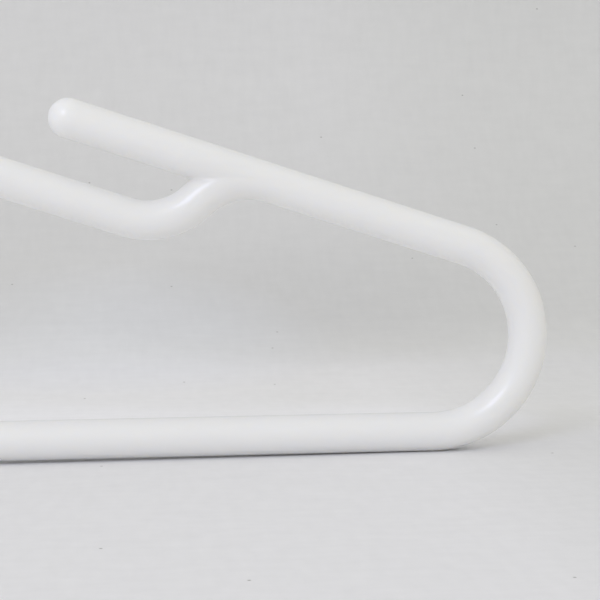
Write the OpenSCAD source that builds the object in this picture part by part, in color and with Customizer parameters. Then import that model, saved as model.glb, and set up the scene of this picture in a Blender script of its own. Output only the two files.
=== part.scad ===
// Tubular clothes hanger with strap notches and a swivel hook.
// Millimetres. +Z is up, the hanger lies in the XZ plane and stands on its bar.
// The origin is under the middle of the bar, at the lowest point of the tube.

/* [Frame tube] */
// Overall width of the frame, over the two end loops
overall_w = 420; // [390:1:450]
// Diameter of the tube
tube_d = 8; // [7.4:0.1:8.6]
// Radius of an end loop, at the middle of the tube
loop_r = 19.75; // [17:0.25:23]

/* [Shoulders] */
// Slope of the arms and of the neck, in degrees
shoulder_slope = 18; // [15:0.5:21]
// Length of an arm, from its end loop to its free tip
arm_len = 88; // [82:1:95]

/* [Strap notch] */
// Clear gap between the arm and the neck below it
notch_gap = 7.2; // [6:0.1:8.4]
// Distance along the arm, from the end loop to the start of the lower bend
notch_floor = 67.2; // [63:0.1:71]
// Radius of the lower bend of the branch, at the middle of the tube
low_bend_r = 14; // [12:0.5:17]
// Radius of the upper bend of the branch, at the middle of the tube
high_bend_r = 15; // [13:0.5:18]
// Length of the straight stretch between the two bends
branch_mid = 1.2; // [0.8:0.1:3]

/* [Neck] */
// Radius of the sweep that lifts the neck into the hub
sweep_r = 40; // [34:1:48]
// Slope of the neck where it ends in the hub, in degrees
sweep_end = 66; // [60:1:70]
// Distance between the two neck tubes where they end in the hub, over their middles
neck_pitch = 6.4; // [5.6:0.1:6.8]

/* [Hub] */
// Diameter of the hub, whose belly is a half ball of the same diameter
hub_d = 15; // [14.8:0.1:17]
// Height of the hub above the ends of the neck tubes
hub_rise = 15; // [14:0.5:19]
// Radius of the rounding at the hub's top edge
hub_edge_r = 1; // [0.4:0.1:1.4]

/* [Swivel] */
// Diameter of the hook wire
wire_d = 3.8; // [3.4:0.1:4.2]
// Radial clearance of the wire in its bearings
running_gap = 0.05; // [0.03:0.01:0.08]
// Diameter of the stop collar and of the washers above and below it
collar_d = 8.4; // [7.8:0.1:9]
// Height of the stop collar
collar_h = 3; // [2.4:0.1:4]
// Radial gap between the stop collar and the wall of its chamber
chamber_gap = 0.4; // [0.3:0.05:0.6]
// Axial play of the hook in the hub
end_play = 0.4; // [0.3:0.05:0.6]
// Thickness of a washer
washer_t = 0.8; // [0.6:0.1:1.2]
// Length of the wire's end below the stop collar
pivot_len = 7; // [5:0.5:8]

/* [Ferrule] */
// Diameter of the ferrule's pressed body
ferrule_d = 11; // [10.6:0.1:11.6]
// Length of the ferrule's pressed body
ferrule_len = 4.4; // [3.6:0.1:5]
// Distance that the ferrule's flange laps over the hub's top
flange_lap = 0.9; // [0.6:0.1:1.1]
// Height of the ferrule's flange
flange_h = 1.4; // [1:0.1:2]
// Diameter of the ferrule's raised nose
nose_d = 7.6; // [6.6:0.1:8.6]
// Height of the raised nose above the flange
nose_h = 2.2; // [1.6:0.1:3]

/* [Hook] */
// Radius of the hook, at the middle of the wire
hook_r = 24; // [21:0.5:28]
// Height of the straight stem above the ferrule
stem_len = 20; // [14:1:30]
// Radius of the bend that carries the stem to the hook
stem_bend_r = 12; // [9:0.5:16]
// Angle at which the hook's arc ends, counted from the side it swells to
hook_end = 186; // [175:1:195]
// Length of the straight stretches on both ends of the hook's arc
hook_flat = 2; // [1:0.5:4]
// Radius of the out-turned lip at the hook's end
lip_r = 8; // [6:0.5:10]
// Turn of the out-turned lip, in degrees
lip_turn = 38; // [25:1:50]

/* [Hidden] */
$fn = 96;
tube_r = tube_d / 2;
wire_r = wire_d / 2;
hub_r = hub_d / 2;

// A bend is a hair thinner than the straight stretch before and after it. The straight laps
// over the bend's end and tapers by twice that hair, so that the two meet without a step.
hair = 0.01;
lap = 0.05;
taper_len = 0.2;

// End loop: its middle, and the point where the arm leaves it.
loop_x = overall_w / 2 - (tube_r - hair) - loop_r;
loop_z = tube_r + loop_r;
arm_x = loop_x + loop_r * sin(shoulder_slope);
arm_z = loop_z + loop_r * cos(shoulder_slope);

// Branch: two equal and opposite turns, with a short straight between them, drop it from
// the arm's middle line to the neck's. The turn follows from the drop, the radii and the straight.
neck_drop = tube_d + notch_gap;
bends_r = low_bend_r + high_bend_r;
branch_turn = acos((bends_r - neck_drop) / sqrt(bends_r * bends_r + branch_mid * branch_mid))
    - atan(branch_mid / bends_r);
branch_run = bends_r * sin(branch_turn) + branch_mid * cos(branch_turn);
branch_start = notch_floor - branch_run;

// Neck: a straight stretch parallel to the arm, then a sweep up into the hub.
neck_x = arm_x - notch_floor * cos(shoulder_slope) - neck_drop * sin(shoulder_slope);
neck_z = arm_z + notch_floor * sin(shoulder_slope) - neck_drop * cos(shoulder_slope);
sweep_x = neck_pitch / 2 + sweep_r * (sin(sweep_end) - sin(shoulder_slope));
neck_len = (neck_x - sweep_x) / cos(shoulder_slope);
sweep_z = neck_z + neck_len * sin(shoulder_slope);
neck_end_z = sweep_z + sweep_r * (cos(shoulder_slope) - cos(sweep_end));

// Hub, and what is stacked in it from the top down.
hub_top = neck_end_z + hub_rise;
ferrule_z = hub_top - ferrule_len;
upper_washer_z = ferrule_z - washer_t;
collar_z = upper_washer_z - end_play - collar_h;
lower_washer_z = collar_z - washer_t;
pivot_z = collar_z - pivot_len;
chamber_d = collar_d + 2 * chamber_gap;
bearing_d = wire_d + 2 * running_gap;
washer_bore_d = bearing_d + 0.2;
pivot_end_gap = 0.5;
wire_chamfer = 0.4;
collar_chamfer = 0.3;

// Ferrule: its flange may not reach past the flat top of the hub.
flange_r = ferrule_d / 2 + flange_lap;
hub_round = min(hub_edge_r, hub_r - flange_r);
nose_round = 0.5;
ferrule_top = hub_top + flange_h + nose_h;

// Hook: stem bend, straight, arc, straight and lip follow each other at equal tangents.
// The arc's middle lies over the stem, so the stem's turn follows from that.
stem_z = ferrule_top + stem_len;
hook_reach = stem_bend_r + hook_r;
stem_turn = acos(stem_bend_r / sqrt(hook_reach * hook_reach + hook_flat * hook_flat))
    - atan(hook_flat / hook_reach);
hook_z = stem_z + hook_reach * sin(stem_turn) + hook_flat * cos(stem_turn);

// Half the outline of a straight bar along +Y. Each end that goes into a bend laps and tapers.
module bar_outline(len, r, into_first, into_last) {
    first = into_first ? lap : 0;
    last = len + (into_last ? lap : 0);
    polygon([
        [0, -first - (into_first ? taper_len : 0)],
        [r - (into_first ? 2 * hair : 0), -first - (into_first ? taper_len : 0)],
        [r, -first],
        [r, last],
        [r - (into_last ? 2 * hair : 0), last + (into_last ? taper_len : 0)],
        [0, last + (into_last ? taper_len : 0)]
    ]);
}

// A straight round bar from a point, along a direction given by its angle from +X towards +Z.
module straight(x, z, angle, len, r) {
    translate([x, 0, z]) rotate([0, 90 - angle, 0])
        rotate_extrude() bar_outline(len, r, true, true);
}

// A round bar bent to an arc in the hanger's plane, about a middle point.
module bend(x, z, bend_r, from, to, r) {
    translate([x, 0, z]) rotate([90, 0, 0]) rotate([0, 0, from])
        rotate_extrude(angle = to - from) translate([bend_r, 0]) circle(r = r - hair);
}

// Places what is built along the shoulder: x runs along the arm from the end loop, towards the
// middle of the hanger, and z stands square to the arm, away from the neck.
module along_shoulder() {
    translate([arm_x, 0, arm_z]) rotate([0, shoulder_slope, 0]) mirror([1, 0, 0]) children();
}

// The arm with its rounded free tip, turned in one piece about its own middle line.
module arm() along_shoulder() rotate([0, 90, 0]) rotate_extrude() {
    bar_outline(arm_len - tube_r, tube_r, true, false);
    translate([0, arm_len - tube_r]) intersection() {
        circle(r = tube_r);
        square(tube_r);
    }
}

// The branch: an S that leaves the arm's middle line and ends on the neck's.
module branch() along_shoulder() {
    high_x = branch_start;
    low_x = notch_floor;
    mid_x = high_x + high_bend_r * sin(branch_turn);
    mid_z = -high_bend_r * (1 - cos(branch_turn));
    bend(high_x, -high_bend_r, high_bend_r, 90 - branch_turn, 90, tube_r);
    straight(mid_x, mid_z, -branch_turn, branch_mid, tube_r);
    bend(low_x, low_bend_r - neck_drop, low_bend_r, 270 - branch_turn, 270, tube_r);
}

// The neck: straight below the arm, then swept up into the hub.
module neck() along_shoulder() {
    sweep_from = notch_floor + neck_len;
    straight(notch_floor, -neck_drop, 0, neck_len, tube_r);
    bend(sweep_from, sweep_r - neck_drop, sweep_r, 270, 270 + sweep_end - shoulder_slope, tube_r);
}

// The hub: a post with a ball-shaped belly and a rounded top edge.
module hub() {
    translate([0, 0, neck_end_z]) rotate_extrude() {
        intersection() {
            circle(r = hub_r);
            translate([0, -hub_r]) square([hub_r, 2 * hub_r]);
        }
        square([hub_r, hub_rise - hub_round]);
        square([hub_r - hub_round, hub_rise]);
        translate([hub_r - hub_round, hub_rise - hub_round]) circle(r = hub_round, $fn = 48);
    }
}

// The stepped hole in the hub: ferrule seat, collar chamber, and blind bearing for the wire's end.
module socket() {
    over = 1;
    translate([0, 0, ferrule_z]) cylinder(d = ferrule_d, h = ferrule_len + over);
    translate([0, 0, lower_washer_z]) cylinder(d = chamber_d, h = hub_top - lower_washer_z);
    translate([0, 0, pivot_z - pivot_end_gap])
        cylinder(d = bearing_d, h = lower_washer_z - pivot_z + pivot_end_gap + over);
}

// The frame, moulded in one piece: bar, two end loops, two arms, two branches, neck and hub.
module frame() color([0.94, 0.95, 0.94]) difference() {
    union() {
        straight(-loop_x, tube_r, 0, 2 * loop_x, tube_r);
        for (side = [0, 1]) mirror([side, 0, 0]) {
            bend(loop_x, loop_z, loop_r, -90, 90 - shoulder_slope, tube_r);
            arm();
            branch();
            neck();
        }
        hub();
    }
    socket();
}

// The flanged bush that is pressed into the hub, closes the chamber and guides the wire.
module neck_ferrule() color([0.78, 0.79, 0.81]) difference() {
    union() {
        translate([0, 0, ferrule_z]) cylinder(d = ferrule_d, h = ferrule_len);
        translate([0, 0, hub_top]) rotate_extrude() {
            square([flange_r - flange_h / 2, flange_h]);
            translate([flange_r - flange_h / 2, flange_h / 2]) circle(d = flange_h, $fn = 48);
            square([nose_d / 2, flange_h + nose_h - nose_round]);
            square([nose_d / 2 - nose_round, flange_h + nose_h]);
            translate([nose_d / 2 - nose_round, flange_h + nose_h - nose_round])
                circle(r = nose_round, $fn = 48);
        }
    }
    translate([0, 0, ferrule_z - 1]) cylinder(d = bearing_d, h = ferrule_top - ferrule_z + 2);
}

// A flat washer of the collar's diameter, loose on the wire.
module washer(z) difference() {
    translate([0, 0, z]) cylinder(d = collar_d, h = washer_t);
    translate([0, 0, z - 1]) cylinder(d = washer_bore_d, h = washer_t + 2);
}

// The washer between the stop collar and the ferrule, which carries the hanging load.
module upper_washer() color([0.86, 0.84, 0.78]) washer(upper_washer_z);

// The washer that the stop collar rests on while the hanger isn't hung up.
module lower_washer() color([0.86, 0.84, 0.78]) washer(lower_washer_z);

// The steel collar that is crimped on the wire and holds the hook in the hub.
module stop_collar() color([0.55, 0.56, 0.58]) difference() {
    translate([0, 0, collar_z]) {
        cylinder(r1 = collar_d / 2 - collar_chamfer, r2 = collar_d / 2, h = collar_chamfer);
        translate([0, 0, collar_chamfer]) cylinder(d = collar_d, h = collar_h - 2 * collar_chamfer);
        translate([0, 0, collar_h - collar_chamfer])
            cylinder(r1 = collar_d / 2, r2 = collar_d / 2 - collar_chamfer, h = collar_chamfer);
    }
    translate([0, 0, collar_z - 1]) cylinder(r = wire_r, h = collar_h + 2);
}

// The hook: one bent wire with a chamfered foot, a stem, an arc and an out-turned lip.
module swivel_hook() color([0.72, 0.73, 0.76]) {
    flat_x = stem_bend_r * (1 - cos(stem_turn));
    flat_z = stem_z + stem_bend_r * sin(stem_turn);
    end_x = hook_r * cos(hook_end);
    end_z = hook_z + hook_r * sin(hook_end);
    end_angle = hook_end + 90;
    lip_x = end_x + hook_flat * cos(end_angle) + lip_r * cos(hook_end);
    lip_z = end_z + hook_flat * sin(end_angle) + lip_r * sin(hook_end);
    lip_from = hook_end - 180;
    translate([0, 0, pivot_z]) rotate_extrude() difference() {
        bar_outline(stem_z - pivot_z, wire_r, false, true);
        polygon([[wire_r - wire_chamfer, 0], [wire_r, wire_chamfer], [wire_r + 1, 0]]);
    }
    bend(stem_bend_r, stem_z, stem_bend_r, 180 - stem_turn, 180, wire_r);
    straight(flat_x, flat_z, 90 - stem_turn, hook_flat, wire_r);
    bend(0, hook_z, hook_r, -stem_turn, hook_end, wire_r);
    straight(end_x, end_z, end_angle, hook_flat, wire_r);
    bend(lip_x, lip_z, lip_r, lip_from - lip_turn, lip_from, wire_r);
    translate([lip_x + lip_r * cos(lip_from - lip_turn), 0, lip_z + lip_r * sin(lip_from - lip_turn)])
        sphere(r = wire_r);
}

frame();
neck_ferrule();
upper_washer();
stop_collar();
lower_washer();
swivel_hook();
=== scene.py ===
"""A tubular clothes hanger with strap notches and a swivel hook, dressed for its photograph."""

import bmesh
import bpy
import math
import numpy as np
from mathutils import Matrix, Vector


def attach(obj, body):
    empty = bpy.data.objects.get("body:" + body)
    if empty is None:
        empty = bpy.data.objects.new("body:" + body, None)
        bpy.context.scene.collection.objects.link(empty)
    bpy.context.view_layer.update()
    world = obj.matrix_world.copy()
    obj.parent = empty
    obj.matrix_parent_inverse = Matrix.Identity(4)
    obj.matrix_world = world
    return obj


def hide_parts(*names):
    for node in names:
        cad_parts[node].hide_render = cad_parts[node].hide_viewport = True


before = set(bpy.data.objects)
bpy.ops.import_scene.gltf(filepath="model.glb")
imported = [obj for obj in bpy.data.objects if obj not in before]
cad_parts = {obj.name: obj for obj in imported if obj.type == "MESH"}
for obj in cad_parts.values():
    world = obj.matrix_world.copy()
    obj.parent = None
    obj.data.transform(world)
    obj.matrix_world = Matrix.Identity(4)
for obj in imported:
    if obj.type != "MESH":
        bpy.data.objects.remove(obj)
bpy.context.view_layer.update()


# ---------------------------------------------------------------------------------------------
# The photograph's viewpoint
# A close look at the right-hand end of the hanger from a little above the bar. The lens is that
# of a camera about a third of a metre away, level from side to side.
# ---------------------------------------------------------------------------------------------
SENSOR_MM, LENS_MM = 36, 102
STAND = Vector((0.11786, -0.3408, 0.0701))
AIM = Vector((0.1586, 0, 0.03169))

camera = bpy.data.objects.new("camera", bpy.data.cameras.new("camera"))
bpy.context.scene.collection.objects.link(camera)
bpy.context.scene.camera = camera
camera.data.sensor_width, camera.data.lens = SENSOR_MM, LENS_MM
camera.data.clip_start = 0.01
camera.location = STAND
camera.rotation_euler = (AIM - STAND).to_track_quat("-Z", "Y").to_euler()


# ---------------------------------------------------------------------------------------------
# Frame moulding: bar, end loops, arms, branches, neck and hub
# One seamless moulding of glossy, slightly milky white plastic. The tool's two halves meet in
# the hanger's plane, where they leave a faint line along the tube. The hole in the hub is made
# by a stepped core pin.
# ---------------------------------------------------------------------------------------------
# The solids' own sizes, in millimetres: tube, end loop, arm, branch, strap notch, neck and hub. The
# solids' bends are thinner than their straight stretches by HAIR, so the end loops stand that much
# further out.
OVERALL_W, TUBE_R, HAIR = 420.0, 4.0, 0.01
LOOP_R = 19.75
SLOPE = math.radians(18)
ARM_LEN = 88.0
HIGH_BEND_R, LOW_BEND_R = 15.0, 14.0
BRANCH_MID = 1.2
NOTCH_FLOOR, NOTCH_GAP = 67.2, 7.2
SWEEP_R, SWEEP_END = 40.0, math.radians(66)
NECK_PITCH = 6.4
HUB_R, HUB_RISE = 7.5, 15.0

# The fillets that the mould leaves where two tubes part, and where the neck enters the hub.
CROTCH_FILLET, HUB_FILLET = 1.0, 2.2


def toward(angle):
    """The unit vector of an angle in the hanger's plane."""
    return np.array([math.cos(angle), math.sin(angle)])


loop_centre = np.array([OVERALL_W / 2 + HAIR - TUBE_R - LOOP_R, TUBE_R + LOOP_R])
neck_drop = 2 * TUBE_R + NOTCH_GAP
bends_r = LOW_BEND_R + HIGH_BEND_R
branch_turn = math.acos((bends_r - neck_drop) / math.hypot(bends_r, BRANCH_MID)) - math.atan(
    BRANCH_MID / bends_r)
branch_start = NOTCH_FLOOR - bends_r * math.sin(branch_turn) - BRANCH_MID * math.cos(branch_turn)
square_to_arm = math.pi / 2 - SLOPE
off_arm = toward(square_to_arm)
along_arm = toward(square_to_arm + math.pi / 2)
arm_root = loop_centre + LOOP_R * off_arm


def shoulder(u, w):
    """A point of the hanger's plane, from its distance u along the arm and w square to it."""
    return arm_root + np.multiply.outer(u, along_arm) + np.multiply.outer(w, off_arm)


def walk_line(start, end, step):
    """Points and left-hand side directions along a straight line, at most a step apart and
    without the last point."""
    start, end = np.asarray(start, float), np.asarray(end, float)
    run = end - start
    share = np.arange(max(1, math.ceil(np.linalg.norm(run) / step)))[:, None]
    share = share / len(share)
    side = np.array([-run[1], run[0]]) / np.linalg.norm(run)
    return start + share * run, np.broadcast_to(side, (len(share), 2))


def walk_arc(centre, radius, start, end, step):
    """Points and left-hand side directions along an arc from angle start to end, at most a step
    apart and without the last point. On an arc that turns left, the side directions point
    inwards."""
    count = max(1, math.ceil(abs(end - start) * radius / step))
    angle = start + (end - start) * np.arange(count) / count
    out = np.stack([np.cos(angle), np.sin(angle)], 1)
    return centre + radius * out, -out if end > start else out


def joined(*walks):
    """One walk out of several that follow each other."""
    return np.concatenate([w[0] for w in walks]), np.concatenate([w[1] for w in walks])


neck_root = shoulder(NOTCH_FLOOR, -neck_drop)
sweep_x = NECK_PITCH / 2 + SWEEP_R * (math.sin(SWEEP_END) - math.sin(SLOPE))
neck_len = (neck_root[0] - sweep_x) / math.cos(SLOPE)
sweep_root = neck_root + neck_len * along_arm
sweep_centre = sweep_root + SWEEP_R * off_arm
high_centre = shoulder(branch_start, -HIGH_BEND_R)
low_centre = shoulder(NOTCH_FLOOR, LOW_BEND_R - neck_drop)
neck_end = np.array([NECK_PITCH / 2, sweep_centre[1] - SWEEP_R * math.cos(SWEEP_END)])
hub_foot = neck_end[1]
hub_top = hub_foot + HUB_RISE

# The angles at which the branch's two bends and the neck's sweep begin and end, and the straight
# stretch between the two bends.
high_from, high_to = square_to_arm, square_to_arm + branch_turn
low_from, low_to = high_to - math.pi, square_to_arm - math.pi
sweep_to = low_to - SWEEP_END + SLOPE
mid_from = high_centre + HIGH_BEND_R * toward(high_to)
mid_to = low_centre + LOW_BEND_R * toward(low_from)


def arc_distance(point, centre, radius, start, end):
    """Distance in the plane to an arc: off its circle where the point is abreast of it, and
    from its nearer end elsewhere."""
    off = point - centre
    middle, half = (start + end) / 2, abs(end - start) / 2
    turn = np.mod(np.arctan2(off[..., 1], off[..., 0]) - middle + math.pi, 2 * math.pi) - math.pi
    abreast = np.abs(np.linalg.norm(off, axis=-1) - radius)
    ends = [centre + radius * toward(a) for a in (start, end)]
    past = np.minimum(*(np.linalg.norm(point - e, axis=-1) for e in ends))
    return np.where(np.abs(turn) <= half, abreast, past)


def line_distance(point, start, end):
    """Distance in the plane to a straight stretch between two points."""
    run = end - start
    share = np.clip((point - start) @ run / (run @ run), 0, 1)
    return np.linalg.norm(point - start - share[..., None] * run, axis=-1)


def branch_distance(point):
    """Distance in the plane to the middle line of the branch and the neck."""
    return np.minimum.reduce([
        arc_distance(point, high_centre, HIGH_BEND_R, high_from, high_to),
        line_distance(point, mid_from, mid_to),
        arc_distance(point, low_centre, LOW_BEND_R, low_from, low_to),
        line_distance(point, neck_root, sweep_root),
        arc_distance(point, sweep_centre, SWEEP_R, low_to, sweep_to),
    ])


def melted(one, other, width):
    """The smaller of two distances, rounded off by a quarter of width where they are equal."""
    width = np.maximum(width, 1e-9)
    near = np.clip(width - np.abs(one - other), 0, None) / width
    return np.minimum(one, other) - near * near * width / 4


# The rate at which the fillet widens with the valley's steepness, and the distance of the valley
# from the middle lines, as a share of the tube's radius, past which it counts as no steeper.
FILLET_GROWTH, LAST_SHARE = 4.0, 0.98


def arm_branch_skin(point, y):
    """Signed distance to the skin of the arm and the branch. Between them runs a valley, whose
    steepness follows from how far the tubes' middle lines have parted. Its fillet widens with the
    steepness, up to the fillet at the crotch."""
    off = point - arm_root
    apart = np.clip((off @ along_arm - branch_start), 0, None) ** 2 / (4 * HIGH_BEND_R)
    steep = 1 / np.sqrt(1 - np.minimum(apart / TUBE_R, LAST_SHARE) ** 2) - 1
    width = CROTCH_FILLET * (1 - np.exp(-FILLET_GROWTH * steep))
    arm = np.hypot(off @ off_arm, y) - TUBE_R
    branch = np.hypot(branch_distance(point), y) - TUBE_R
    return melted(arm, branch, width)


def neck_skin(point, y):
    """Signed distance to the skin of both necks and the hub, melted into each other."""
    mirrored = point * np.array([-1, 1])
    right = np.hypot(branch_distance(point), y) - TUBE_R
    left = np.hypot(branch_distance(mirrored), y) - TUBE_R
    below = np.minimum(point[..., 1] - hub_foot, 0)
    hub = np.sqrt(point[..., 0] ** 2 + y * y + below * below) - HUB_R
    return melted(melted(right, left, CROTCH_FILLET), hub, HUB_FILLET)


HALVINGS = 48


def halved(function, low, high):
    """Where a rising function of arrays crosses zero between low and high, by halving."""
    for _ in range(HALVINGS):
        middle = (low + high) / 2
        inside = function(middle) < 0
        low, high = np.where(inside, middle, low), np.where(inside, high, middle)
    return (low + high) / 2


# The faces across a quarter of the tube, and how far from its middle line a skin may lie.
AROUND = 18
FAR = 3 * TUBE_R


def quarter(points, sides, skin=None, reach=None):
    """The front quarter of the tube's skin on one side of a walk, as a grid of rows along it.
    A ray turns from straight ahead, y, to the side. It ends on the skin, or sideways where the
    walk's reach ends, past which the next tube begins."""
    rows = len(points)
    reach = np.full(rows, np.inf) if reach is None else reach
    if skin is None:
        radius = np.full((rows, AROUND + 1), TUBE_R)
        last = np.full(rows, math.pi / 2)
    else:
        near = np.minimum(reach, FAR)
        at_reach = points + near[:, None] * sides
        cut = skin(at_reach, np.zeros(rows)) < 0
        depth = halved(lambda y: skin(at_reach, y), np.zeros(rows), np.full(rows, FAR))
        last = np.where(cut, np.arctan2(near, depth), math.pi / 2)
    angle = last[:, None] * np.linspace(0, 1, AROUND + 1)
    if skin is not None:
        across, ahead = np.sin(angle), np.cos(angle)
        far = np.minimum(FAR, near[:, None] / np.maximum(across, 1e-9))
        at = lambda r: points[:, None] + (r * across)[..., None] * sides[:, None]
        radius = halved(lambda r: skin(at(r), r * ahead), np.full(far.shape, 1.0), far)
    plane = points[:, None] + (radius * np.sin(angle))[..., None] * sides[:, None]
    return np.stack([plane[..., 0], radius * np.cos(angle), plane[..., 1]], -1)


# The planes of the rays on the arm and on the branch meet along the line that is as far from the
# one tube as from the other, a parabola. The two tubes part at the crotch, where it leaves the
# fillet. The rows of faces stand closest just before it.
PARTING_FROM, CLOSE_BEFORE = 2.2, 1.4


def parting_angle(u):
    """Turn of the high bend whose ray meets the parabola above the distance u."""
    return np.arctan2(u, HIGH_BEND_R - u * u / (4 * HIGH_BEND_R))


crotch_u = math.sqrt(4 * HIGH_BEND_R * (TUBE_R + CROTCH_FILLET / 4))
bend_u = HIGH_BEND_R * 2 * math.tan(branch_turn / 2)
parting = np.concatenate([
    np.linspace(PARTING_FROM, crotch_u - CLOSE_BEFORE, 24),
    crotch_u - CLOSE_BEFORE * np.linspace(1, 0, 10)[1:] ** 2,
    np.linspace(crotch_u, bend_u, 4)[1:-1]])
parting_depth = parting**2 / (4 * HIGH_BEND_R)

bar_walk = walk_line((0, TUBE_R), (loop_centre[0], TUBE_R), 4)
loop_walk = walk_arc(loop_centre, LOOP_R, -math.pi / 2, square_to_arm, 0.7)
arm_walk = walk_line(arm_root, shoulder(branch_start, 0), 2)
fork = (shoulder(branch_start, 0)[None], -off_arm[None])
spine = joined(bar_walk, loop_walk, arm_walk, fork)
beside = (shoulder(branch_start + parting, 0 * parting), np.tile(-off_arm, (len(parting), 1)))
arm_end = (shoulder(ARM_LEN - TUBE_R, 0)[None], -off_arm[None])
arm_free = joined(
    beside, walk_line(shoulder(branch_start + bend_u, 0), arm_end[0][0], 0.8), arm_end)

# Beside the parabola a ray ends on it, and past the crotch it ends on the tube's own skin.
ARM_REACH, BRANCH_REACH = 6.0, 4.8
arm_reach = np.full(len(arm_free[0]), ARM_REACH)
arm_reach[:len(parting)] = parting_depth

high_angle = high_from + parting_angle(parting)
high_out = np.stack([np.cos(high_angle), np.sin(high_angle)], 1)
branch_walk = joined(
    (high_centre + HIGH_BEND_R * high_out, -high_out),
    walk_line(mid_from, mid_to, 0.4),
    walk_arc(low_centre, LOW_BEND_R, low_from, low_to, 0.6))
branch_reach = np.full(len(branch_walk[0]), BRANCH_REACH)
branch_reach[:len(parting)] = parting_depth


def sweep_station(angle):
    """Point and outward side of the sweep at an angle about its middle."""
    out = np.stack([np.cos(angle), np.sin(angle)], -1)
    return sweep_centre + SWEEP_R * out, out


def middle_plane_skin(angle):
    """Skin distance where the sweep's ray at an angle meets the hanger's middle plane."""
    point, out = sweep_station(angle)
    return neck_skin(point - (point[..., :1] / out[..., :1]) * out, np.zeros(1))


# The necks' crotch under the hub is where the middle plane first cuts the skin. It lies between
# these two turns of the sweep, in radians.
CROTCH_BETWEEN = np.array([0.6]), np.array([0.84])
crotch_turn = halved(lambda t: -middle_plane_skin(low_to - t), *CROTCH_BETWEEN)
crotch_angle = low_to - float(crotch_turn[0])

# Above the sweep the rays' planes turn level on a last arc inside the hub, so that the skin ends on
# the hub's round post.
LEVEL_R = 15.0
level_centre = neck_end + LEVEL_R * np.array([math.sin(SWEEP_END), math.cos(SWEEP_END)])
level_end = (level_centre + np.array([[-LEVEL_R, 0]]), np.array([[-1.0, 0.0]]))
neck_walk = joined(
    walk_line(neck_root, sweep_root, 2.5),
    walk_arc(sweep_centre, SWEEP_R, low_to, crotch_angle, 0.9),
    walk_arc(sweep_centre, SWEEP_R, crotch_angle, sweep_to, 0.4),
    walk_arc(level_centre, LEVEL_R, sweep_to, -math.pi, 0.5),
    level_end)
leftward = np.minimum(neck_walk[1][:, 0], -1e-6)
neck_reach = np.minimum(neck_walk[0][:, 0] / -leftward, FAR)

# The tip of the arm is a half ball, and the fork is the point where branch and arm are still one.
tip_turn = np.linspace(0, math.pi / 2, 13)[1:, None]
tip_axis = shoulder(ARM_LEN - TUBE_R + TUBE_R * np.sin(tip_turn[:, 0]), 0)
ring_turn = np.linspace(0, math.pi / 2, AROUND + 1)


def tip(side):
    """A quarter of the arm's half-ball tip, as shrinking rings towards its pole."""
    across = TUBE_R * np.cos(tip_turn) * np.sin(ring_turn)
    ahead = TUBE_R * np.cos(tip_turn) * np.cos(ring_turn)
    plane = tip_axis[:, None] + across[..., None] * side
    return np.stack([plane[..., 0], ahead, plane[..., 1]], -1)


fork_point = np.array([fork[0][0][0], TUBE_R, fork[0][0][1]])
fork_row = np.broadcast_to(fork_point, (1, AROUND + 1, 3))
outer_side = np.concatenate([
    quarter(spine[0], -spine[1]), quarter(arm_free[0], -arm_free[1]), tip(off_arm)])
arm_lower_side = np.concatenate([
    fork_row, quarter(*arm_free, arm_branch_skin, arm_reach), tip(-off_arm)])
inner_side = np.concatenate([
    quarter(*spine), quarter(*branch_walk), quarter(*neck_walk, neck_skin, neck_reach)])
branch_upper_side = np.concatenate([
    fork_row, quarter(branch_walk[0], -branch_walk[1], arm_branch_skin, branch_reach),
    quarter(neck_walk[0], -neck_walk[1], neck_skin)])

# The hub's post with its rounded edge, and its stepped hole, turned about the hub's axis from the
# top of the skin: the ferrule's seat, the collar's chamber, and the blind bearing for the wire's
# end. The sizes are the solids' own, except HUB_SIDE, the height of the post's first ring of faces.
HUB_EDGE, HUB_SIDE = 1.0, 3.0
FERRULE_R, FERRULE_LEN = 5.5, 4.4
COLLAR_R, COLLAR_H, CHAMBER_GAP = 4.2, 3.0, 0.4
WASHER_T, END_PLAY = 0.8, 0.4
WIRE_R, RUNNING_GAP = 1.9, 0.05
PIVOT_LEN, PIVOT_END_GAP = 7.0, 0.5
ferrule_z = hub_top - FERRULE_LEN
upper_washer_z = ferrule_z - WASHER_T
collar_z = upper_washer_z - END_PLAY - COLLAR_H
lower_washer_z = collar_z - WASHER_T
pivot_z = collar_z - PIVOT_LEN


def rounded(radius, z, size, start, end, count=7):
    """Profile points of a rounding about a middle, from one angle to another in degrees."""
    turn = np.radians(np.linspace(start, end, count))
    return np.stack([radius + size * np.cos(turn), z + size * np.sin(turn)], 1)


chamber_r = COLLAR_R + CHAMBER_GAP
bearing_r = WIRE_R + RUNNING_GAP
post_profile = np.concatenate([
    [(HUB_R, hub_top - HUB_EDGE - HUB_SIDE)],
    rounded(HUB_R - HUB_EDGE, hub_top - HUB_EDGE, HUB_EDGE, 0, 90),
    [(FERRULE_R, hub_top), (FERRULE_R, ferrule_z), (chamber_r, ferrule_z),
     (chamber_r, lower_washer_z), (bearing_r, lower_washer_z),
     (bearing_r, pivot_z - PIVOT_END_GAP), (0, pivot_z - PIVOT_END_GAP)]])


def post(skin_side):
    """The post's grid above one side of the skin: its profile at the turns of the last row."""
    turn = np.arctan2(skin_side[-1, :, 1], skin_side[-1, :, 0])
    radius, z = post_profile[:, :1], post_profile[:, 1:]
    grid = np.stack([radius * np.cos(turn), radius * np.sin(turn), z + 0 * turn], -1)
    return np.concatenate([skin_side[-1:], grid])


def in_quarters(grids):
    """The grids and their mirror images about the hanger's plane and about its middle plane."""
    return [g * np.array([x, y, 1]) for g in grids for x in (1, -1) for y in (1, -1)]


def grid_faces(rows, columns, first):
    """Quads of a grid of points, whose first point has the number first."""
    corner = first + np.arange(rows - 1)[:, None] * columns + np.arange(columns - 1)
    return np.stack([corner, corner + 1, corner + columns + 1, corner + columns], -1).reshape(-1, 4)


SAME_POINT_M = 2e-7
SHARP_EDGE = math.radians(35)


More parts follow.
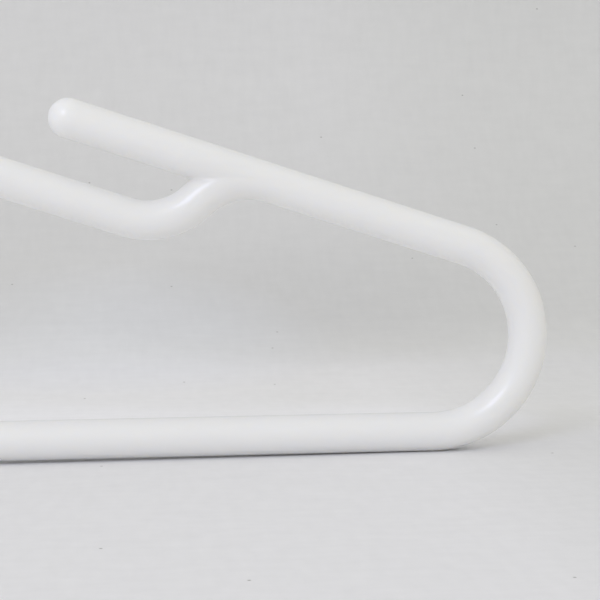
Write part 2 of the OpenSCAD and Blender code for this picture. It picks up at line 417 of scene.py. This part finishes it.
def shaped(name, grids):
    """A mesh object out of grids of points in millimetres. Points that coincide are merged, which
    closes seams and poles, the faces are turned outwards, and steep edges stay sharp."""
    points = np.concatenate([g.reshape(-1, 3) for g in grids]) / 1000
    firsts = np.cumsum([0] + [g.shape[0] * g.shape[1] for g in grids])
    faces = np.concatenate([grid_faces(*g.shape[:2], n) for g, n in zip(grids, firsts)])
    mesh = bpy.data.meshes.new(name)
    mesh.from_pydata(points, [], faces)
    merged = bmesh.new()
    merged.from_mesh(mesh)
    bmesh.ops.remove_doubles(merged, verts=merged.verts, dist=SAME_POINT_M)
    bmesh.ops.recalc_face_normals(merged, faces=merged.faces)
    merged.to_mesh(mesh)
    merged.free()
    mesh.shade_smooth()
    mesh.set_sharp_from_angle(angle=SHARP_EDGE)
    thing = bpy.data.objects.new(name, mesh)
    bpy.context.scene.collection.objects.link(thing)
    return thing


moulding = shaped("frame_moulding", in_quarters([
    outer_side, arm_lower_side, inner_side, branch_upper_side,
    post(inner_side), post(branch_upper_side)]))
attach(moulding, "frame")
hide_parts("frame")


class Value:
    """A node's output that can be written in sums: 1 - mask * 0.3 adds its Math nodes."""

    def __init__(self, shading, socket):
        self.shading, self.socket = shading, socket

    def sum_of(self, operation, *terms):
        return self.shading.node(
            "ShaderNodeMath", {"operation": operation}, dict(enumerate(terms)))

    def __add__(self, other):
        return self.sum_of("ADD", self, other)

    def __sub__(self, other):
        return self.sum_of("SUBTRACT", self, other)

    def __rsub__(self, other):
        return self.sum_of("SUBTRACT", other, self)

    def __mul__(self, other):
        return self.sum_of("MULTIPLY", self, other)

    def __truediv__(self, other):
        return self.sum_of("DIVIDE", self, other)

    def __pow__(self, other):
        return self.sum_of("POWER", self, other)

    def __abs__(self):
        return self.sum_of("ABSOLUTE", self)

    def capped(self):
        """The value held between 0 and 1."""
        return self.shading.node("ShaderNodeClamp", {}, {"Value": self})

    __radd__ = __add__
    __rmul__ = __mul__


class Shading:
    """A node tree in the making."""

    def __init__(self, tree):
        self.tree = tree

    def node(self, kind, settings, sockets, output=0):
        """A node of a kind, with its settings, then the values or links of its sockets."""
        made = self.tree.nodes.new(kind)
        for setting, value in settings.items():
            if setting == "stops":
                ramp = made.color_ramp.elements
                while len(ramp) < len(value):
                    ramp.new(0.5)
                for element, (position, colour) in zip(ramp, value):
                    element.position, element.color = position, (*colour, 1)
            else:
                setattr(made, setting, value)
        for socket, value in sockets.items():
            if isinstance(value, Value):
                self.tree.links.new(value.socket, made.inputs[socket])
            else:
                made.inputs[socket].default_value = value
        return Value(self, made.outputs[output])

    def blend(self, share, one, other):
        """A colour between two, by a share from 0 to 1."""
        colours = [c if isinstance(c, Value) else (*c, 1) for c in (one, other)]
        return self.node("ShaderNodeMix", {"data_type": "RGBA"}, {
            0: share, 6: colours[0], 7: colours[1]}, 2)


class Finish(Shading):
    """A material in the making. Its fixed values are set on the shader's own sockets."""

    def __init__(self, name, **fixed):
        self.material = bpy.data.materials.new(name)
        self.material.use_nodes = True
        super().__init__(self.material.node_tree)
        self.shader = self.tree.nodes["Principled BSDF"]
        for socket, value in fixed.items():
            self.shader.inputs[socket.replace("_", " ")].default_value = value
        self.place = self.node("ShaderNodeTexCoord", {}, {}, "Object")

    def noise(self, scale, detail=2.0, stretch=(1, 1, 1)):
        """Noise of a scale per metre, between 0 and 1, drawn out along an axis by its stretch."""
        at = self.node("ShaderNodeMapping", {}, {"Vector": self.place, "Scale": stretch})
        return self.node("ShaderNodeTexNoise", {}, {"Vector": at, "Scale": scale, "Detail": detail})

    def varies(self, **sockets):
        """Links what changes over the surface to the shader's sockets."""
        for socket, value in sockets.items():
            self.tree.links.new(value.socket, self.shader.inputs[socket.replace("_", " ")])

    def bump(self, height, strength, distance):
        """Dents and ridges of a height from 0 to 1, over a distance in metres."""
        self.varies(Normal=self.node("ShaderNodeBump", {}, {
            "Height": height, "Strength": strength, "Distance": distance}))

    def on(self, thing):
        """Puts the finish on an object, as its only material."""
        thing.data.materials.clear()
        thing.data.materials.append(self.material)


PARTING_LINE_M = 0.00016


def white_plastic():
    """Glossy moulded plastic: a milky cloudiness, a skin that is a trace uneven and dulled here
    and there by handling, and the tool's parting line where it meets the hanger's plane."""
    plastic = Finish("white_plastic", IOR=1.49, Subsurface_Weight=1.0, Subsurface_Scale=0.0075,
                     Coat_Roughness=0.14)
    plastic.shader.inputs["Subsurface Radius"].default_value = (1.0, 0.95, 0.85)
    depth = plastic.node("ShaderNodeSeparateXYZ", {}, {"Vector": plastic.place}, "Y")
    line = (1 - abs(depth) / PARTING_LINE_M).capped()
    cloud = plastic.noise(38, 3)
    grain = plastic.noise(900, 3)
    dulled = plastic.noise(55, 1)
    colour = plastic.blend(cloud, (0.79, 0.79, 0.789), (0.815, 0.815, 0.815))
    colour = plastic.blend(line * 0.04, colour, (0.70, 0.70, 0.68))
    plastic.varies(Base_Color=colour, Roughness=0.285 + dulled * 0.10 + grain * 0.02,
                   Coat_Weight=0.36 - dulled * 0.12)
    plastic.bump(cloud * 0.5 + grain * 0.012 + line * 0.04, 0.2, 0.0005)
    return plastic


white_plastic().on(moulding)


# ---------------------------------------------------------------------------------------------
# Neck ferrule
# A flanged bush, pressed from plated steel. It is pressed into the hub, closes the collar's
# chamber and guides the wire. Its nose has a rolled edge, and a turned groove runs at its foot.
# ---------------------------------------------------------------------------------------------
# The flange and the nose with their roundings, the groove outside the nose, the chamfer of the foot,
# and the gap of the ring of faces below the nose's rounding, which keeps its side straight.
FLANGE_R, FLANGE_H, FLANGE_ROUND, FLANGE_FOOT = 6.4, 1.4, 0.7, 0.3
NOSE_R, NOSE_H, NOSE_ROUND = 3.8, 2.2, 0.5
GROOVE_MID, GROOVE_R, GROOVE_OUT, GROOVE_LIP = 0.45, 0.28, 0.9, 0.15
FOOT_CHAMFER, RING_GAP = 0.3, 0.1
flange_top = hub_top + FLANGE_H
ferrule_top = flange_top + NOSE_H


def turned(profile, count=96):
    """A round piece: a closed profile of radius and height carried around the hub's axis."""
    radius, z = np.asarray(profile, float).T[..., None]
    turn = np.linspace(0, 2 * math.pi, count + 1)
    turn[-1] = 0
    return np.stack([radius * np.cos(turn), radius * np.sin(turn), z + 0 * turn], -1)


ferrule_profile = np.concatenate([
    [(bearing_r, ferrule_z), (FERRULE_R - FOOT_CHAMFER, ferrule_z),
     (FERRULE_R, ferrule_z + FOOT_CHAMFER), (FERRULE_R, hub_top),
     (FLANGE_R - FLANGE_FOOT, hub_top)],
    rounded(FLANGE_R - FLANGE_ROUND, hub_top + FLANGE_ROUND, FLANGE_ROUND, -60, 90, 11),
    [(NOSE_R + GROOVE_OUT, flange_top)],
    rounded(NOSE_R + GROOVE_MID, flange_top, GROOVE_R, 0, -180, 9),
    rounded(NOSE_R + GROOVE_LIP, flange_top + GROOVE_LIP, GROOVE_LIP, -90, -180, 4),
    [(NOSE_R, ferrule_top - NOSE_ROUND - RING_GAP)],
    rounded(NOSE_R - NOSE_ROUND, ferrule_top - NOSE_ROUND, NOSE_ROUND, 0, 90, 9),
    rounded(bearing_r + NOSE_ROUND, ferrule_top - NOSE_ROUND, NOSE_ROUND, 90, 180, 9),
    [(bearing_r, ferrule_z)]])
ferrule = shaped("ferrule_bush", [turned(ferrule_profile)])
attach(ferrule, "frame")
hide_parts("neck_ferrule")


def plated_steel(name, along):
    """Bright plating over drawn or turned steel: fine lines left in the steel run along one
    axis, a cloudy bloom dulls the gloss in places, and a few hairline scratches cross it."""
    plate = Finish(name, Metallic=1.0)
    lines = plate.noise(2600, 2, along)
    bloom = plate.noise(120, 3)
    scratch = ((plate.noise(700, 5, (1, 1, 0.25)) - 0.62) * 9).capped()
    plate.varies(
        Base_Color=plate.blend(bloom, (0.60, 0.61, 0.625), (0.68, 0.685, 0.695)),
        Roughness=0.09 + bloom * 0.06 + scratch * 0.08 + lines * 0.03)
    plate.bump(lines * 0.5 + scratch * 0.5, 0.08, 0.0002)
    return plate


plated_steel("ferrule_plating", (0.12, 0.12, 1)).on(ferrule)


# ---------------------------------------------------------------------------------------------
# Upper and lower washer
# Two flat washers punched from natural bearing plastic. They lie loose on the wire, above and
# below the stop collar, and carry the load while the hook turns.
# ---------------------------------------------------------------------------------------------
def bearing_plastic():
    """Waxy off-white sheet plastic, dull from running, with faint rings around the wire."""
    waxy = Finish("bearing_plastic", IOR=1.5, Subsurface_Weight=0.1, Subsurface_Scale=0.002)
    speckle = waxy.noise(1400, 4)
    rings = waxy.node("ShaderNodeTexWave", {
        "wave_type": "RINGS", "rings_direction": "Z"}, {
        "Vector": waxy.place, "Scale": 900.0, "Distortion": 1.5, "Detail": 2.0}, 1)
    waxy.varies(Base_Color=waxy.blend(speckle, (0.74, 0.72, 0.66), (0.82, 0.80, 0.74)),
                Roughness=0.34 + rings * 0.12 + speckle * 0.08)
    waxy.bump(rings * 0.6 + speckle * 0.4, 0.12, 0.0001)
    return waxy


washer_finish = bearing_plastic()
for washer in ("upper_washer", "lower_washer"):
    washer_finish.on(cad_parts[washer])


# ---------------------------------------------------------------------------------------------
# Stop collar
# A turned steel ring, crimped on the wire at four places. It holds the hook in the hub, and its
# crimps keep it from sliding along the wire.
# ---------------------------------------------------------------------------------------------
# The side is divided into rings between its two chamfers, for the crimps to be pressed into.
CHAMFER, SIDE_INSET = 0.3, 0.05
CRIMP_DEPTH, CRIMP_HALF_W, CRIMP_HALF_H = 0.32, 0.75, 0.62
collar_top = collar_z + COLLAR_H
side_z = np.linspace(collar_z + CHAMFER + SIDE_INSET, collar_top - CHAMFER - SIDE_INSET, 14)
collar_profile = [
    (WIRE_R, collar_z), (COLLAR_R - CHAMFER, collar_z), (COLLAR_R, collar_z + CHAMFER),
    *((COLLAR_R, z) for z in side_z),
    (COLLAR_R, collar_top - CHAMFER), (COLLAR_R - CHAMFER, collar_top), (WIRE_R, collar_top),
    (WIRE_R, collar_z)]
collar_grid = turned(collar_profile, 160)
crimp_turn = np.arctan2(collar_grid[..., 1], collar_grid[..., 0])
crimp_off = np.abs(np.mod(crimp_turn, math.pi / 2) - math.pi / 4) * COLLAR_R
crimp_up = collar_grid[..., 2] - collar_z - COLLAR_H / 2
crimp = CRIMP_DEPTH * np.exp(
    -((crimp_off / CRIMP_HALF_W) ** 2 + (crimp_up / CRIMP_HALF_H) ** 2) ** 2)
outside = np.hypot(collar_grid[..., 0], collar_grid[..., 1]) > COLLAR_R - 0.01
collar_grid[..., :2] *= 1 - (crimp * outside / COLLAR_R)[..., None]
collar = shaped("crimped_collar", [collar_grid])
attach(collar, "hook")
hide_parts("stop_collar")


def turned_steel():
    """Bare turned steel: tool marks run around it, darker where oil has dried on."""
    steel = Finish("turned_steel", Metallic=1.0)
    marks = steel.noise(5200, 2, (0.04, 0.04, 1))
    stain = steel.noise(420, 4)
    steel.varies(Base_Color=steel.blend(stain, (0.40, 0.41, 0.43), (0.56, 0.57, 0.59)),
                 Roughness=0.29 + marks * 0.12 + stain * 0.1)
    steel.bump(marks, 0.2, 0.0001)
    return steel


turned_steel().on(collar)


# ---------------------------------------------------------------------------------------------
# Swivel hook
# One length of plated steel wire: a chamfered foot in the hub, a straight stem, a bend to the
# side, the arc that goes over the rail, and an out-turned lip with a ball-nosed end.
# ---------------------------------------------------------------------------------------------
STEM_LEN, STEM_BEND_R = 20.0, 12.0
HOOK_R, HOOK_FLAT = 24.0, 2.0
HOOK_END = math.radians(186)
LIP_R, LIP_TURN = 8.0, math.radians(38)
WIRE_CHAMFER = 0.4
stem_z = ferrule_top + STEM_LEN
hook_reach = STEM_BEND_R + HOOK_R
stem_turn = math.acos(STEM_BEND_R / math.hypot(hook_reach, HOOK_FLAT)) - math.atan(
    HOOK_FLAT / hook_reach)
hook_centre = np.array([
    0, stem_z + hook_reach * math.sin(stem_turn) + HOOK_FLAT * math.cos(stem_turn)])
stem_centre = np.array([STEM_BEND_R, stem_z])
bend_end = stem_centre + STEM_BEND_R * toward(math.pi - stem_turn)
arc_root = hook_centre + HOOK_R * toward(-stem_turn)
arc_end = hook_centre + HOOK_R * toward(HOOK_END)
lip_root = arc_end + HOOK_FLAT * toward(HOOK_END + math.pi / 2)
lip_from = HOOK_END - math.pi
lip_centre = lip_root + LIP_R * toward(HOOK_END)
wire_walk = joined(
    walk_line((0, pivot_z), (0, stem_z), 1.2),
    walk_arc(stem_centre, STEM_BEND_R, math.pi, math.pi - stem_turn, 0.5),
    walk_line(bend_end, arc_root, 0.7),
    walk_arc(hook_centre, HOOK_R, -stem_turn, HOOK_END, 0.6),
    walk_line(arc_end, lip_root, 0.7),
    walk_arc(lip_centre, LIP_R, lip_from, lip_from - LIP_TURN, 0.4))
wire_points, wire_sides = wire_walk

# The wire's rings run from its chamfered foot along its walk and close over the nose at the lip.
nose = np.linspace(0, math.pi / 2, 11)[:, None]
lip_out = toward(lip_from - LIP_TURN)
lip_ahead = np.array([lip_out[1], -lip_out[0]])
nose_points = lip_centre + LIP_R * lip_out + WIRE_R * np.sin(nose) * lip_ahead
wire_points = np.concatenate([
    [(0, pivot_z), (0, pivot_z), (0, pivot_z + WIRE_CHAMFER)], wire_points[1:], nose_points])
wire_sides = np.concatenate([
    np.tile(wire_sides[:1], (3, 1)), wire_sides[1:], np.tile(lip_out, (len(nose), 1))])
wire_radius = np.full(len(wire_points), WIRE_R)
wire_radius[:2] = 0, WIRE_R - WIRE_CHAMFER
wire_radius[-len(nose):] = WIRE_R * np.cos(nose[:, 0])
around_wire = np.linspace(0, 2 * math.pi, 49)
around_wire[-1] = 0
wire_plane = wire_points[:, None] + (
    wire_radius[:, None] * np.cos(around_wire))[..., None] * wire_sides[:, None]
wire_grid = np.stack([
    wire_plane[..., 0], wire_radius[:, None] * np.sin(around_wire), wire_plane[..., 1]], -1)
hook = shaped("hook_wire", [wire_grid])
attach(hook, "hook")
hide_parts("swivel_hook")
plated_steel("hook_plating", (1, 1, 0.15)).on(hook)


# ---------------------------------------------------------------------------------------------
# Floor and backdrop
# One pale, faintly woven sheet that runs from under the hanger back and up behind it, without a
# horizon. It dips a little under the middle of the bar, which touches it only near its ends. It can
# be looked through from behind, where the table under it goes on.
# ---------------------------------------------------------------------------------------------
SWEEP_BACK, BACK_R = 70.0, 130.0
DIP, DIP_HALF_LEN, DIP_HALF_WIDTH = 0.75, 186.0, 30.0
STAGE_END, STAGE_TOP, TABLE_UNDER = 3000.0, 2500.0, 0.4
wall_y = SWEEP_BACK + BACK_R

# The rows of faces stand close where the sheet dips, and wide apart where it is flat.
floor_y = np.concatenate([[-STAGE_END, -700, -300], np.linspace(-66, 66, 23)])
sheet_turn = np.linspace(0, math.pi / 2, 25)
sheet_y = np.concatenate([floor_y, SWEEP_BACK + BACK_R * np.sin(sheet_turn), [wall_y]])
sheet_z = np.concatenate([
    np.zeros(len(floor_y)), BACK_R * (1 - np.cos(sheet_turn)), [STAGE_TOP]])
sheet_x = np.concatenate([[-STAGE_END, -700], np.linspace(-210, 210, 43), [700, STAGE_END]])


def stage_sheet(name, y, z):
    """A sheet of the stage: its profile in depth and height, drawn out sideways. Under the middle
    of the bar it dips by a parabola in x that fades as a bell in y."""
    x, y, z = np.broadcast_arrays(sheet_x, y[:, None], z[:, None])
    dip = DIP * np.clip(1 - (x / DIP_HALF_LEN) ** 2, 0, None) * np.exp(-(y / DIP_HALF_WIDTH) ** 2)
    sheet = shaped(name, [np.stack([x, y, z - dip], -1)])
    sheet.data.flip_normals()
    return sheet


backdrop = stage_sheet("backdrop", sheet_y, sheet_z)
table = stage_sheet("table", np.array([SWEEP_BACK, STAGE_END]), np.full(2, -TABLE_UNDER))


# Specks of dust: cells to the metre, the share of cells without one, and a speck's radius in cells.
SPECK_CELLS, SPECKLESS, SPECK_R = 42.0, 0.72, 0.016


def pale_sheet():
    """Matt pale grey sheet: painted cool light on the floor, painted shade greyer where it rises, a
    broad soft painted shadow and a painted patch of cool light behind the hanger, a painted warm
    shade band on the right, faint mottling, threads that cross each other, and a few specks of dust."""
    matt = Finish("pale_sheet", Roughness=0.85)
    matt.shader.inputs["Specular IOR Level"].default_value = 0.2
    across, depth, height = (
        matt.node("ShaderNodeSeparateXYZ", {}, {"Vector": matt.place}, axis) for axis in "XYZ")
    # Painted light and shade by depth: the floor just behind the hanger is painted lighter and the
    # rising sheet darker, and the floor's stops are tinted cool where the window light falls.
    shades = [(0.0, 0.84), (0.1, 0.86), (0.25, 0.935), (0.4, 0.885), (0.485, 0.822), (0.55, 0.755),
              (0.625, 0.69), (0.70, 0.667), (0.80, 0.658), (0.95, 0.69)]
    cool_tint, neutral_tint = (1.015, 1.011, 1.026), (1.015, 1.011, 1.003)
    stops = [(at, [shade * part for part in (cool_tint if at < 0.5 else neutral_tint)])
             for at, shade in shades]
    to_wall = depth / (wall_y / 1000)
    colour = matt.node("ShaderNodeValToRGB", {"stops": stops}, {"Fac": to_wall})
    # Painted shadow: a broad soft darker patch behind the hanger, where its shadow falls on the
    # sheet.
    hanger_shadow = ((across - 0.182) / 0.048) ** 2 + ((depth - 0.128) / 0.022) ** 2
    colour = matt.blend((1 - hanger_shadow * 0.45).capped() * 0.30, colour, (0.48, 0.48, 0.475))
    # Painted shade: a darker, warmer band on the right-hand side of the sheet.
    right_shade = (1 - ((across - 0.265) / 0.08) ** 2).capped() * ((depth + 0.25) * 6).capped()
    colour = matt.blend(right_shade * 0.37, colour, (0.60, 0.602, 0.575))
    # Painted light: a lighter, bluish patch behind the hanger on the left, where the cool window
    # light falls.
    cool = ((across - 0.12) / 0.045) ** 2 + ((depth - 0.112) / 0.026) ** 2
    colour = matt.blend((1 - cool * 0.5).capped() * 0.24, colour, (0.85, 0.885, 0.98))
    mottle = matt.noise(14, 4)
    colour = matt.blend(mottle * 0.06, colour, (0.55, 0.55, 0.55))
    threads = matt.noise(420, 4, (1, 0.3, 0.3)) + matt.noise(420, 4, (0.3, 1, 1))
    colour = matt.node("ShaderNodeMix", {"data_type": "RGBA", "blend_type": "MULTIPLY"}, {
        0: 1.0, 6: colour, 7: 0.94 + threads * 0.06}, 2)
    unrolled = matt.node("ShaderNodeCombineXYZ", {}, {0: across, 1: depth + height})
    cells = {"voronoi_dimensions": "2D"}, {"Vector": unrolled, "Scale": SPECK_CELLS}
    off_speck = matt.node("ShaderNodeTexVoronoi", *cells)
    lot = matt.node("ShaderNodeSeparateColor", {}, {
        0: matt.node("ShaderNodeTexVoronoi", *cells, "Color")})
    speck = ((1 - off_speck / SPECK_R).capped() * 1.6).capped()
    speck = speck * ((lot - SPECKLESS) * 30).capped()
    colour = matt.blend(speck * 0.75, colour, (0.30, 0.29, 0.28))
    matt.varies(Base_Color=colour)
    clear = matt.node("ShaderNodeBsdfTransparent", {}, {})
    behind = matt.node("ShaderNodeNewGeometry", {}, {}, "Backfacing")
    seen = matt.node("ShaderNodeMixShader", {}, {0: behind, 2: clear})
    matt.tree.links.new(matt.shader.outputs[0], seen.socket.node.inputs[1])
    matt.tree.links.new(seen.socket, matt.tree.nodes["Material Output"].inputs["Surface"])
    return matt


def pale_table():
    """Matt pale grey board under the sheet, faintly mottled as the sheet is."""
    board = Finish("pale_table", Roughness=0.85)
    board.shader.inputs["Specular IOR Level"].default_value = 0.2
    board.varies(Base_Color=board.blend(board.noise(14, 4) * 0.1, (0.775, 0.775, 0.785),
                                        (0.55, 0.55, 0.55)))
    return board


pale_sheet().on(backdrop)
pale_table().on(table)


# ---------------------------------------------------------------------------------------------
# Light
# A wide, cool window in front on the left, and the light of a pale room with a lighter ceiling and
# a darker, warmer right-hand wall.
# ---------------------------------------------------------------------------------------------
WINDOW_AT = Vector((-1.334, -2.469, 1.84))
WINDOW_AIM = Vector((0.15, 0, 0.04))
WINDOW_SIDE_M, WINDOW_W = 1.2, 27.7

window = bpy.data.lights.new("window", "AREA")
window.shape, window.size, window.energy = "SQUARE", WINDOW_SIDE_M, WINDOW_W
window.color = (0.70, 0.74, 1.0)
window_lamp = bpy.data.objects.new("window", window)
window_lamp.location = WINDOW_AT
window_lamp.rotation_euler = (WINDOW_AIM - WINDOW_AT).to_track_quat("-Z", "Y").to_euler()
bpy.context.scene.collection.objects.link(window_lamp)

world = bpy.data.worlds.new("room")
bpy.context.scene.world = world
world.use_nodes = True
room = Shading(world.node_tree)
direction = room.node("ShaderNodeTexCoord", {}, {}, "Generated")
rightward, upward = (
    room.node("ShaderNodeSeparateXYZ", {}, {"Vector": direction}, axis) for axis in "XZ")
walls = room.blend(rightward * 0.5 + 0.5, (0.90, 0.898, 0.857), (0.67, 0.652, 0.565))
walls = room.blend(upward.capped() ** 2 * 0.6, walls, (0.92, 0.918, 0.868))
room.tree.links.new(walls.socket, room.tree.nodes["Background"].inputs["Color"])

bpy.context.scene.view_settings.view_transform = "Standard"
